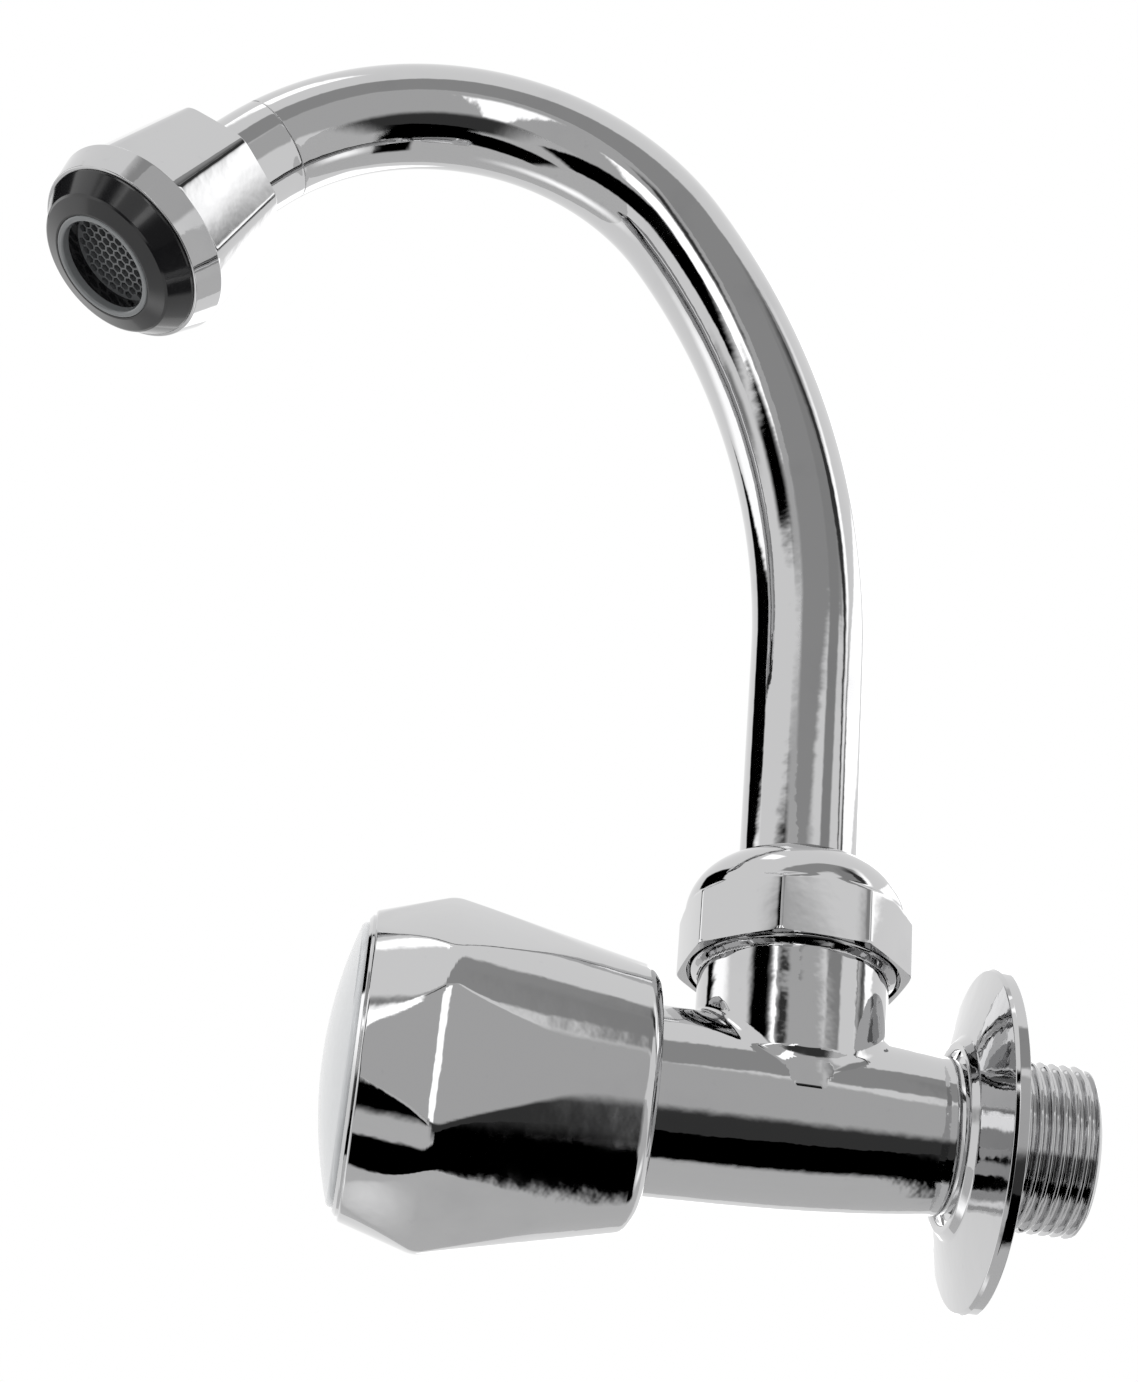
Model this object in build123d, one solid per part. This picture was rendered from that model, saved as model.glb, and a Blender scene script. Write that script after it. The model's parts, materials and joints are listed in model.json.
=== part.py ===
# Gooseneck bibcock with a swivel spout, a compression valve and a ball jointed aerator head.
# Row frame in millimetres: the origin is on the inlet axis where the flange meets the wall,
# +Y goes into the wall, +Z is up, and the handle points away from the wall along -Y.
from build123d import *
import math
import os

os.makedirs("parts", exist_ok=True)

# Inlet thread, G 3/4, which is the only standard size in the picture and fixes the scale.
inlet_major = 26.441
inlet_pitch = 1.814
inlet_depth = 1.162
inlet_crests = 9
inlet_first = -0.372
inlet_bore = 8.0
inlet_chamfer = 0.6

# Barrel and boss of the cast body.
boss_y = -31.0
boss_r = 15.0
boss_top = 31.0
boss_shoulder = 25.5
boss_bore = 11.0
boss_floor = 12.5
barrel_end = 55.0
barrel_r = 14.7
barrel_root = (12.2, 8.2)
barrel_middle = [(14.45, 44.0), (14.35, 35.0), (13.8, 26.0), (13.1, 16.5)]
barrel_cover = 1.7
neck_waist_r = 11.3
neck_waist = 4.7
bead_r = 16.3
bead_height = 3.1
waterway_r = 6.5

# Wall flange, a thin pressed dish.
flange_r = 26.5
flange_hole = 13.45
flange_depth = 5.9
flange_dish = 4.7
flange_rim = 2.2
flange_sheet = 1.1
collar_r = 12.6
collar_back = 2.5

# Valve, a rising plunger on a turning spindle.
seat_hole = 6.0
seat_back = 20.0
seat_front = 24.0
seat_rim = 1.0
seat_rim_r = 7.2
chamber_r = 10.5
washer_r = 7.6
washer_thick = 2.5
plunger_r = 8.0
plunger_hex = 12.0
plunger_back = 44.0
spindle_r = 4.0
lead_r = 3.2
bonnet_nose = 36.0
bonnet_thread = 11.3
bonnet_screwed = 7.0
bonnet_pitches = 4
gasket_thick = 1.0
bonnet_hex = 25.4

# Handle, a double cone with six diamond facets. Heights count from its back edge, which laps
# over the barrel's end.
handle_lap = 1.9
handle_length = 44.1
handle_gap = 0.6
handle_back_r = 20.1
waist_r = 27.3
waist_height = 32.2
mouth_r = 23.45
recess_r = 22.85
recess_depth = 2.2
ledge_r = 19.5
facet_count = 6
facet_first = -13.9
facet_back = (21.3, 5.9)
facet_front = (23.3, 44.5)
facet_middle = [(21.95, 8.4), (23.3, 16.3), (24.3, 24.4), (24.92, 31.4), (24.6, 36.9)]
hub_height = 13.4
hub_length = 14.5
insert_length = 11.45
insert_across = 13.6
screw_head_r = 4.4
screw_head = 3.0

# Trim ring and cap. Heights count from the ledge that the ring sits on.
trim_in = 21.65
trim_seat = 1.6
trim_top = 3.05
cap_r = 21.5
cap_edge = 1.65
cap_round = 0.8
cap_rise = 3.3
cap_skirt_r = 19.4
cap_skirt = 4.0
cap_wall = 0.8

# Union nut that holds the spout down.
nut_bottom = 23.3
nut_corner_r = 18.9
nut_across = 34.92
nut_turn = -17.2
nut_top = 41.6
nut_rim_r = 10.3
nut_dome = 8.4
nut_dome_r = 17.6
nut_skirt_r = 16.8
nut_lip = 7.1
neck_major = 14.3
neck_depth = 0.92
neck_pitch = 1.5

# Spout tube and its two bends.
tube_r = 9.5
tube_wall = 1.2
tube_foot = 24.0
straight_top = 81.5
wide_bend = 140.0
wide_angle = 36.4
crown_bend = 50.0
seam_angle = 133.0
end_angle = 138.0
tail = 16.7

# Ball joint and aerator head, lengths along the head from the ball's centre.
ball_r = 10.5
sleeve_end = 9.0
neck_r = 6.3
head_axis = (0.179, -0.51, -0.842)
head_turn = 246.6
flat_front = 17.2
flat_back = 14.4
corner_front = 18.2
corner_back = 15.3
head_back = 8.0
head_collar = 12.2
head_lip = 17.1
lip_r = 16.65
screen_r = 12.2

# Clearances.
running = 0.08
seated = 0.05
screwed = 0.10


def profile(points):
    """Face in the XZ plane from (radius, height) corners; a third number rounds that corner."""
    count = len(points)
    starts, ends, rounds = [], [], []
    for index, corner in enumerate(points):
        here = Vector(corner[0], 0, corner[1])
        if len(corner) < 3:
            starts.append(here)
            ends.append(here)
            rounds.append(None)
            continue
        before = points[index - 1]
        after = points[(index + 1) % count]
        back = (Vector(before[0], 0, before[1]) - here).normalized()
        on = (Vector(after[0], 0, after[1]) - here).normalized()
        half = math.radians(back.get_angle(on)) / 2
        reach = corner[2] / math.tan(half)
        middle = (back + on).normalized() * (corner[2] / math.sin(half) - corner[2])
        starts.append(here + back * reach)
        ends.append(here + on * reach)
        rounds.append(here + middle)
    edges = []
    for index in range(count):
        if rounds[index] is not None:
            edges.append(ThreePointArc(starts[index], rounds[index], ends[index]))
        following = (index + 1) % count
        if (starts[following] - ends[index]).length > 1e-6:
            edges.append(Line(ends[index], starts[following]))
    return make_face(edges)


def turned(points):
    """Solid turned about +Z from (radius, height) corners."""
    return revolve(profile(points), Axis.Z)


def tube(outer, inner, low, high):
    """Plain ring or bush."""
    return turned([(inner, low), (outer, low), (outer, high), (inner, high)])


def rod(radius, low, high):
    """Plain cylinder on +Z."""
    return turned([(0, low), (radius, low), (radius, high), (0, high)])


def hexagon(across, low, high):
    """Hexagonal prism on +Z."""
    return Pos(0, 0, low) * extrude(RegularPolygon(across / 2, 6, major_radius=False), high - low)


def thread_points(crest, depth, pitch, first, count, grow=0.0):
    """Corners of ring shaped threads: flat crests and 55 degree flanks, one crest per pitch."""
    flank = depth * math.tan(math.radians(27.5))
    flat = (pitch - 2 * flank) / 2
    points = []
    for index in range(count):
        start = first + index * pitch
        points.append((crest + grow, start))
        points.append((crest + grow, start + flat))
        if index < count - 1:
            points.append((crest - depth + grow, start + flat + flank))
            points.append((crest - depth + grow, start + 2 * flat + flank))
    return points


def thread_length(depth, pitch, count):
    """Length from the first crest's start to the last crest's end."""
    flank = depth * math.tan(math.radians(27.5))
    return (count - 1) * pitch + (pitch - 2 * flank) / 2


def splined(outer, inner, teeth, low, high):
    """Shaft with straight teeth."""
    corners = []
    for index in range(2 * teeth):
        radius = outer if index % 2 == 0 else inner
        for side in (-0.28, 0.28):
            angle = math.pi * (index + side) / teeth
            corners.append((radius * math.cos(angle), radius * math.sin(angle)))
    return Pos(0, 0, low) * extrude(make_face(Polyline(*corners, close=True)), high - low)


def o_ring(centre_r, section_r, height):
    """Rubber ring of round section."""
    return Pos(0, 0, height) * Torus(centre_r, section_r)


# Places for the four axes. Heights run into the wall, away from the wall, up the boss, and
# down the tube's end or the head from the ball's centre.
into_wall = Plane(origin=(0, 0, 0), x_dir=(1, 0, 0), z_dir=(0, 1, 0)).location
off_wall = Plane(origin=(0, 0, 0), x_dir=(1, 0, 0), z_dir=(0, -1, 0)).location
up_boss = Pos(0, boss_y, 0)


def bend_point(angle):
    """Point of the spout's centre line on the crown bend at a total angle from straight up."""
    start = math.radians(wide_angle)
    y = boss_y - (wide_bend - crown_bend) * (1 - math.cos(start))
    z = straight_top + (wide_bend - crown_bend) * math.sin(start)
    turn = math.radians(angle)
    return Vector(0, y - crown_bend * (1 - math.cos(turn)), z + crown_bend * math.sin(turn))


def bend_tangent(angle):
    """Direction of the centre line at a total angle."""
    turn = math.radians(angle)
    return Vector(0, -math.sin(turn), math.cos(turn))


tube_end = bend_tangent(end_angle)
pivot = bend_point(end_angle) + tube_end * tail
head_dir = Vector(*head_axis).normalized()
across = head_dir.cross(Vector(1, 0, 0.2)).normalized()
down_tube = Plane(origin=pivot, x_dir=(1, 0, 0), z_dir=tube_end).location
down_head = Plane(origin=pivot, x_dir=across, z_dir=head_dir).location

parts = {}

# Cast body: barrel, boss and inlet tail in one piece.
inlet_r = inlet_major / 2
inlet_last = inlet_first + thread_length(inlet_depth, inlet_pitch, inlet_crests)
inlet_end = inlet_last + inlet_chamfer
groove_r = inlet_r - inlet_depth - 0.2
tail_points = thread_points(inlet_r, inlet_depth, inlet_pitch, inlet_first, inlet_crests)
barrel_back = barrel_root[1] - barrel_cover
body = into_wall * turned(
    [(0, -16.0), (neck_waist_r - 0.5, -barrel_back - 0.5), (barrel_root[0], -barrel_back, 0.4)]
    + [(neck_waist_r, -neck_waist), (collar_r, -neck_waist), (collar_r, -collar_back)]
    + [(groove_r, -collar_back)]
    + [(groove_r, inlet_first - 0.5)]
    + tail_points
    + [(inlet_r - inlet_chamfer, inlet_end), (0, inlet_end)]
)
barrel_points = [(barrel_r, barrel_end), *barrel_middle, barrel_root]
barrel_edges = [
    Spline(*[Vector(r, 0, h) for r, h in barrel_points]),
    Line((barrel_root[0], 0, barrel_root[1]), (barrel_root[0], 0, barrel_back)),
    Line((barrel_root[0], 0, barrel_back), (0, 0, barrel_back)),
    Line((0, 0, barrel_back), (0, 0, barrel_end)),
    Line((0, 0, barrel_end), (barrel_r, 0, barrel_end)),
]
body += off_wall * revolve(make_face(barrel_edges), Axis.Z)
neck_first = boss_shoulder + 1.0
neck_crests = 3
neck_last = neck_first + thread_length(neck_depth, neck_pitch, neck_crests)
neck_points = thread_points(neck_major, neck_depth, neck_pitch, neck_first, neck_crests)
body += up_boss * turned(
    [(0, 0), (12.0, 0), (boss_r, 6.0), (boss_r, boss_shoulder - bead_height)]
    + [(bead_r, boss_shoulder - bead_height + 0.9, 0.4), (bead_r, boss_shoulder, 0.4)]
    + [(neck_major - neck_depth, boss_shoulder), (neck_major - neck_depth, neck_first - 0.4)]
    + neck_points
    + [(neck_major - neck_depth, neck_last + 0.5), (neck_major - neck_depth, boss_top), (0, boss_top)]
)
body -= into_wall * rod(inlet_bore, -seat_back, inlet_end + 1)
body -= off_wall * rod(seat_hole, seat_back - 1, seat_front + 2)
bonnet_first = barrel_end - bonnet_screwed
bonnet_last = bonnet_first + thread_length(neck_depth, neck_pitch, bonnet_pitches)
bonnet_points = thread_points(bonnet_thread, neck_depth, neck_pitch, bonnet_first, bonnet_pitches)
bore_points = thread_points(
    bonnet_thread, neck_depth, neck_pitch, bonnet_first, bonnet_pitches, screwed
)
body -= off_wall * turned(
    [(0, seat_front), (chamber_r, seat_front), (chamber_r, bonnet_first - 0.5)]
    + bore_points
    + [(bonnet_thread + screwed, barrel_end + 1), (0, barrel_end + 1)]
)
body += off_wall * tube(seat_rim_r, seat_hole, seat_front - 0.5, seat_front + seat_rim)
body -= up_boss * rod(boss_bore, boss_floor, boss_top + 1)
body -= up_boss * rod(waterway_r, 2.0, boss_floor + 1)
parts["tap_body"] = body

# Wall flange: raised lip round the hole, shallow dish, short rim.
lip_in = flange_hole + 2.4
edge_r = flange_r - 0.25
parts["wall_flange"] = off_wall * turned(
    [
        (flange_r, 0),
        (flange_r, flange_rim - 0.6),
        (edge_r, flange_rim, 0.3),
        (lip_in, flange_dish, 0.5),
        (lip_in - 1.2, flange_depth, 0.4),
        (flange_hole, flange_depth, 0.3),
        (flange_hole, flange_depth - flange_sheet),
        (lip_in - 0.6, flange_dish - flange_sheet),
        (edge_r - flange_sheet - 0.3, flange_rim - 0.3),
        (edge_r - flange_sheet - 0.1, 0),
    ]
)

# Bonnet, screwed into the barrel: it guides the plunger and carries the spindle.
gasket_back = barrel_end + gasket_thick
hex_end = gasket_back + 4.0
nose_end = hex_end + 4.0
thrust_end = barrel_end - 2.4
guide_end = thrust_end - 2.2
bonnet = turned(
    [(0, bonnet_nose), (chamber_r - screwed, bonnet_nose, 0.5)]
    + [(chamber_r - screwed, bonnet_first - 0.5)]
    + bonnet_points
    + [(bonnet_thread - neck_depth, bonnet_last + 0.5), (bonnet_thread - neck_depth, gasket_back)]
    + [(0, gasket_back)]
)
bonnet += hexagon(bonnet_hex, gasket_back, hex_end)
bonnet += turned([(0, hex_end - 1), (8.0, hex_end - 1), (8.0, nose_end, 0.8), (0, nose_end)])
bonnet -= hexagon(plunger_hex + 0.6, bonnet_nose - 1, guide_end)
bonnet -= rod(6.6, guide_end - 0.01, thrust_end)
bonnet -= rod(spindle_r + running, thrust_end - 0.01, nose_end + 1)
parts["valve_bonnet"] = off_wall * bonnet
parts["bonnet_gasket"] = off_wall * tube(14.2, bonnet_thread + 0.3, barrel_end, gasket_back)

# Plunger with its washer and screw, drawn on the seat.
seat_face = seat_front + seat_rim
washer_back = seat_face + washer_thick
plunger_disc = washer_back + 2.0
lead_bottom = 30.5
plunger = turned(
    [(0, washer_back), (plunger_r, washer_back, 0.3), (plunger_r, plunger_disc, 0.5), (0, plunger_disc)]
)
plunger += hexagon(plunger_hex, plunger_disc - 0.01, plunger_back)
plunger -= rod(lead_r + 0.35, lead_bottom, plunger_back + 1)
plunger -= rod(1.55, washer_back - 1, lead_bottom - 0.3)
parts["valve_plunger"] = off_wall * plunger
parts["seat_washer"] = off_wall * tube(washer_r, 1.6, seat_face, washer_back)
seat_screw = rod(1.5, seat_face - 0.01, lead_bottom - 0.4)
seat_screw += turned([(0, seat_face - 1.6), (2.8, seat_face - 1.6, 0.5), (2.8, seat_face), (0, seat_face)])
seat_screw -= Pos(0, 0, seat_face - 1.6) * Box(7, 0.8, 1.2)
parts["seat_washer_screw"] = off_wall * seat_screw

# Spindle: lead end, thrust collar, two seal grooves, ring groove, splined end.
handle_back = barrel_end - handle_lap
handle_front = handle_back + handle_length
handle_opening = barrel_r + handle_gap
hub_back = handle_back + hub_height
hub_front = hub_back + hub_length
insert_front = hub_back + insert_length
spindle_end = insert_front - 1.95
ring_low = nose_end + 0.05
ring_high = ring_low + 1.0
spline_low = hub_back - 0.3
groove_half = 0.75
seal_heights = (gasket_back + 1.2, gasket_back + 4.6)
spindle = turned(
    [(0, 36.2), (lead_r, 36.2, 0.6), (lead_r, guide_end + 0.2), (6.0, guide_end + 0.2, 0.4)]
    + [(6.0, thrust_end - 0.1, 0.3), (spindle_r, thrust_end - 0.1), (spindle_r, spline_low), (0, spline_low)]
)
spindle += splined(3.95, 3.45, 20, spline_low - 0.01, spindle_end)
for height in seal_heights:
    spindle -= tube(spindle_r + 1, 2.9, height - groove_half, height + groove_half)
spindle -= tube(spindle_r + 1, 2.95, ring_low - seated, ring_high + seated)
spindle -= rod(2.5, spindle_end - 8.0, spindle_end + 1)
parts["valve_spindle"] = off_wall * spindle
seals = [o_ring(2.95 + 0.55, 0.54, height) for height in seal_heights]
parts["spindle_o_rings"] = off_wall * Compound(children=seals)
snap_ring = tube(5.6, 3.0, ring_low, ring_high) - Pos(5, 0, ring_low + 0.5) * Box(10, 2.2, 3)
parts["spindle_snap_ring"] = off_wall * snap_ring

# Handle shell: hollow double cone, facets cut one by one.
ledge = handle_front - recess_depth
shell = turned(
    [
        (handle_opening, handle_back, 0.4),
        (handle_back_r, handle_back, 3.0),
        (waist_r, handle_back + waist_height, 10.0),
        (mouth_r, handle_front, 0.6),
        (recess_r, handle_front, 0.15),
        (recess_r, ledge),
        (ledge_r, ledge),
        (ledge_r, hub_front),
        (0, hub_front),
        (0, hub_back),
        (handle_opening, hub_back),
    ]
)
facet_line = [facet_back, *facet_middle, facet_front]
facet_points = [Vector(r, 0, handle_back + h) for r, h in facet_line]
facet_out = waist_r + 4.7
facet_half = waist_r - 14.3
facet_edges = [
    Spline(*facet_points),
    Line(facet_points[-1], (facet_out, 0, facet_points[-1].Z)),
    Line((facet_out, 0, facet_points[-1].Z), (facet_out, 0, facet_points[0].Z)),
    Line((facet_out, 0, facet_points[0].Z), facet_points[0]),
]
facet = extrude(make_face(facet_edges), facet_half, both=True)
for index in range(facet_count):
    shell -= Rot(0, 0, facet_first + index * 360 / facet_count) * facet
shell -= hexagon(insert_across + screwed, hub_back - 1, insert_front + seated)
shell -= rod(2.8, insert_front - 1, hub_front + 1)
parts["handle_shell"] = off_wall * shell
insert = hexagon(insert_across, hub_back, insert_front)
insert -= splined(4.03, 3.53, 20, hub_back - 1, insert_front + 1)
parts["handle_spline_insert"] = off_wall * insert
head_top = hub_front + screw_head
screw = rod(2.45, spindle_end - 7.0, hub_front + 0.5)
screw += turned(
    [(0, hub_front), (screw_head_r, hub_front), (screw_head_r, head_top, 0.6), (0, head_top)]
)
screw -= hexagon(4.0, head_top - 2.0, head_top + 1)
parts["handle_screw"] = off_wall * screw

# Trim ring and blank cap in the handle's front.
trim_out = recess_r - screwed
trim_in_seat = cap_r - 1.9
trim_ledge = ledge + trim_seat
parts["handle_trim_ring"] = off_wall * turned(
    [
        (trim_in_seat, ledge),
        (trim_out, ledge),
        (trim_out, ledge + trim_top - 0.55),
        (trim_out - 0.55, ledge + trim_top, 0.2),
        (trim_in, ledge + trim_top, 0.1),
        (trim_in, trim_ledge),
        (trim_in_seat, trim_ledge),
    ]
)
cap_seat = trim_ledge + seated
cap_side = cap_seat + cap_edge
dome_edge_r = cap_r - cap_round
dome_low = cap_side + 0.9
cap_top = dome_low + cap_rise
cap_skirt_in = cap_skirt_r - cap_wall
under_edge = dome_low - 1.0
dome_r = (dome_edge_r**2 + cap_rise**2) / (2 * cap_rise)
dome_mid_r = dome_edge_r / 2
dome_mid = cap_top - dome_r + math.sqrt(dome_r**2 - dome_mid_r**2)
dome = ThreePointArc((dome_edge_r, 0, dome_low), (dome_mid_r, 0, dome_mid), (0, 0, cap_top))
cap_corners = [
    (0, 0, cap_top),
    (0, 0, cap_top - 1.9),
    (cap_skirt_in, 0, under_edge),
    (cap_skirt_in, 0, ledge - cap_skirt),
    (cap_skirt_r, 0, ledge - cap_skirt),
    (cap_skirt_r, 0, cap_seat),
    (cap_r, 0, cap_seat),
    (cap_r, 0, cap_side),
]
round_mid = (cap_r - 0.23, 0, cap_side + 0.62)
cap_edges = [
    dome,
    *[Line(one, two) for one, two in zip(cap_corners, cap_corners[1:])],
    ThreePointArc((cap_r, 0, cap_side), round_mid, (dome_edge_r, 0, dome_low)),
]
parts["handle_cap"] = off_wall * revolve(make_face(cap_edges), Axis.Z)

# Union nut: octagon below, dome above, threaded skirt inside.
octagon = RegularPolygon(nut_across / 2, 8, rotation=nut_turn, major_radius=False)
nut = Pos(0, 0, nut_bottom) * extrude(octagon, nut_top - nut_bottom)
nut_shoulder = nut_top - nut_lip
dome_foot = (nut_dome_r, 0, nut_top - nut_dome)
dome_belly = (nut_dome_r - 2.0, 0, nut_top - 3.4)
dome_lip = (nut_rim_r + 0.6, 0, nut_top - 0.4)
corner_top = (nut_corner_r, 0, dome_foot[2] - 1.3)
corner_round = (nut_corner_r - 0.45, 0, dome_foot[2] - 0.45)
corner_foot = (nut_corner_r, 0, nut_bottom + 0.5)
bevel_foot = (nut_corner_r - 0.6, 0, nut_bottom)
nut_edges = [
    Line((0, 0, nut_bottom), bevel_foot),
    Line(bevel_foot, corner_foot),
    Line(corner_foot, corner_top),
    ThreePointArc(corner_top, corner_round, dome_foot),
    ThreePointArc(dome_foot, dome_belly, dome_lip),
    Line(dome_lip, (nut_rim_r, 0, nut_top)),
    Line((nut_rim_r, 0, nut_top), (0, 0, nut_top)),
    Line((0, 0, nut_top), (0, 0, nut_bottom)),
]
nut = nut & revolve(make_face(nut_edges), Axis.Z)
nut_thread = thread_points(neck_major, neck_depth, neck_pitch, neck_first, neck_crests, screwed)
nut -= turned(
    [(0, nut_bottom - 1), (nut_skirt_r, nut_bottom - 1), (nut_skirt_r, neck_first - 0.5)]
    + [(neck_major + screwed, neck_first - 0.3)]
    + nut_thread
    + [(neck_major + 0.3, neck_last + 0.3), (neck_major + 0.3, nut_shoulder), (tube_r + 0.3, nut_shoulder)]
    + [(tube_r + 0.3, nut_top + 1), (0, nut_top + 1)]
)
parts["union_nut"] = up_boss * nut
flange_top = boss_top + 2.4
parts["spout_slip_washer"] = up_boss * tube(13.9, tube_r + 0.35, flange_top + seated, nut_shoulder)

# Spout foot: collar with two rings, turning in the boss.
tube_in = tube_r - tube_wall
collar = turned(
    [
        (tube_in, 13.0),
        (boss_bore - running, 13.0, 0.6),
        (boss_bore - running, boss_top),
        (12.8, boss_top),
        (12.8, flange_top, 0.3),
        (tube_r + seated, flange_top),
        (tube_r + seated, tube_foot),
        (tube_in, tube_foot),
    ]
)
spout_ring_heights = (16.5, 20.5)
for height in spout_ring_heights:
    collar -= tube(boss_bore + 1, 9.3, height - 1.0, height + 1.0)
parts["spout_collar"] = up_boss * collar
spout_rings = [o_ring(10.14, 0.81, height) for height in spout_ring_heights]
parts["spout_o_rings"] = up_boss * Compound(children=spout_rings)


def bend(radius, arc_radius, centre, angle_from, angle_to):
    """Piece of a bent rod: a disc turned about the bend's axis, which runs along X."""
    turn = math.radians(angle_from)
    start = centre + Vector(0, math.cos(turn), math.sin(turn)) * arc_radius
    place = Plane(origin=start, x_dir=(1, 0, 0), z_dir=bend_tangent(angle_from))
    axis = Axis(tuple(centre), (1, 0, 0))
    return revolve(place * Circle(radius), axis, revolution_arc=angle_to - angle_from)


wide_centre = Vector(0, boss_y - wide_bend, straight_top)
crown_centre = bend_point(90) - Vector(0, 0, crown_bend)


def spout_rod(radius):
    """Rod along the spout's centre line from the foot to the sleeve's seam."""
    solid = Pos(0, boss_y, 0) * rod(radius, tube_foot, straight_top)
    solid += bend(radius, wide_bend, wide_centre, 0, wide_angle)
    solid += bend(radius, crown_bend, crown_centre, wide_angle, seam_angle)
    return solid


parts["spout_tube"] = spout_rod(tube_r) - spout_rod(tube_in)
sleeve = bend(tube_r, crown_bend, crown_centre, seam_angle, end_angle)
sleeve += down_tube * turned([(0, -tail), (tube_r, -tail), (tube_r, -sleeve_end, 0.5), (0, -sleeve_end)])
sleeve -= bend(tube_in, crown_bend, crown_centre, seam_angle, end_angle)
sleeve -= down_tube * rod(tube_in, -tail - 0.01, -13.0)
sleeve -= down_tube * rod(6.05, -14.0, -sleeve_end + 1)
parts["spout_tip_sleeve"] = sleeve

# Ball stud: hollow, screwed into the sleeve.
ball_front = 8.0
ball_cut = math.sqrt(ball_r**2 - ball_front**2)
neck_meet = math.sqrt(ball_r**2 - neck_r**2)
ball_edges = [
    Line((3.5, 0, -13.6), (5.95, 0, -13.6)),
    Line((5.95, 0, -13.6), (5.95, 0, -sleeve_end)),
    Line((5.95, 0, -sleeve_end), (neck_r, 0, -sleeve_end)),
    Line((neck_r, 0, -sleeve_end), (neck_r, 0, -neck_meet)),
    ThreePointArc((neck_r, 0, -neck_meet), (ball_r, 0, 0), (ball_cut, 0, ball_front)),
    Line((ball_cut, 0, ball_front), (3.5, 0, ball_front)),
    Line((3.5, 0, ball_front), (3.5, 0, -13.6)),
]
parts["ball_stud"] = down_tube * revolve(make_face(ball_edges), Axis.Z)


def on_sphere(radius, polar):
    """Point at an angle from the back of the ball."""
    turn = math.radians(polar)
    return Vector(radius * math.sin(turn), 0, -radius * math.cos(turn))


# Slip ring between ball and retainer: it spins with the head and lets the head tilt over it.
ring_in = ball_r + seated
ring_out = 11.5
slip_edges = [
    ThreePointArc(on_sphere(ring_in, 55), on_sphere(ring_in, 70), on_sphere(ring_in, 85)),
    Line(on_sphere(ring_in, 85), on_sphere(ring_out, 85)),
    ThreePointArc(on_sphere(ring_out, 85), on_sphere(ring_out, 70), on_sphere(ring_out, 55)),
    Line(on_sphere(ring_out, 55), on_sphere(ring_in, 55)),
]
parts["ball_slip_ring"] = down_tube * revolve(make_face(slip_edges), Axis.Z)

# Head: black retainer, seal, eight sided shell. The retainer's mouth clears the sleeve at
# the full tilt.
cavity_r = ring_out + running
retainer_r = 13.5
retainer_mouth = 12.8
retainer_floor = 5.2
retainer_front = 3.0
floor_r = math.sqrt(cavity_r**2 - retainer_floor**2)
back_face = 8.6
mid_polar = (math.degrees(math.asin(floor_r / cavity_r)) + 90) / 2
retainer_edges = [
    Line((retainer_mouth, 0, -back_face), (retainer_r - 0.4, 0, -back_face)),
    Line((retainer_r - 0.4, 0, -back_face), (retainer_r, 0, -back_face + 0.4)),
    Line((retainer_r, 0, -back_face + 0.4), (retainer_r, 0, retainer_front)),
    Line((retainer_r, 0, retainer_front), (cavity_r, 0, retainer_front)),
    Line((cavity_r, 0, retainer_front), (cavity_r, 0, 0)),
    ThreePointArc((cavity_r, 0, 0), on_sphere(cavity_r, mid_polar), (floor_r, 0, -retainer_floor)),
    Line((floor_r, 0, -retainer_floor), (retainer_mouth, 0, -retainer_floor)),
    Line((retainer_mouth, 0, -retainer_floor), (retainer_mouth, 0, -back_face)),
]
parts["ball_retainer"] = down_head * revolve(make_face(retainer_edges), Axis.Z)
seal_back = retainer_front + seated
seal_front = 9.6
seal_in = 6.8
seal_r = ball_r + 0.06
seal_edges = [
    ThreePointArc(
        (math.sqrt(seal_r**2 - seal_back**2), 0, seal_back),
        (math.sqrt(seal_r**2 - 5.6**2), 0, 5.6),
        (seal_in, 0, math.sqrt(seal_r**2 - seal_in**2)),
    ),
    Line((seal_in, 0, math.sqrt(seal_r**2 - seal_in**2)), (seal_in, 0, seal_front)),
    Line((seal_in, 0, seal_front), (11.9, 0, seal_front)),
    Line((11.9, 0, seal_front), (11.9, 0, seal_back)),
    Line((11.9, 0, seal_back), (math.sqrt(seal_r**2 - seal_back**2), 0, seal_back)),
]
parts["ball_seat_seal"] = down_head * revolve(make_face(seal_edges), Axis.Z)


def octagon_face(apothem, height):
    """Eight sided face across the head's axis."""
    return Pos(0, 0, height) * RegularPolygon(apothem, 8, rotation=head_turn, major_radius=False)


head = loft([octagon_face(flat_back, -head_back), octagon_face(flat_front, head_collar)])
head &= turned(
    [(0, -head_back), (corner_back, -head_back, 0.3), (corner_front, head_collar), (0, head_collar)]
)
collar_back = head_collar - 0.4
head += turned(
    [(0, collar_back), (corner_front - 0.06, collar_back), (corner_front, head_collar, 0.3)]
    + [(lip_r, head_lip, 0.2), (0, head_lip)]
)
web_front = 11.2
front_bore = 15.2
head -= rod(retainer_r + seated, -head_back - 1, retainer_front + 0.02)
head -= rod(11.95, retainer_front, seal_front)
head -= rod(5.5, 5.0, web_front + 1)
head -= rod(front_bore, web_front, head_lip + 1)
parts["aerator_shell"] = down_head * head

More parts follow.
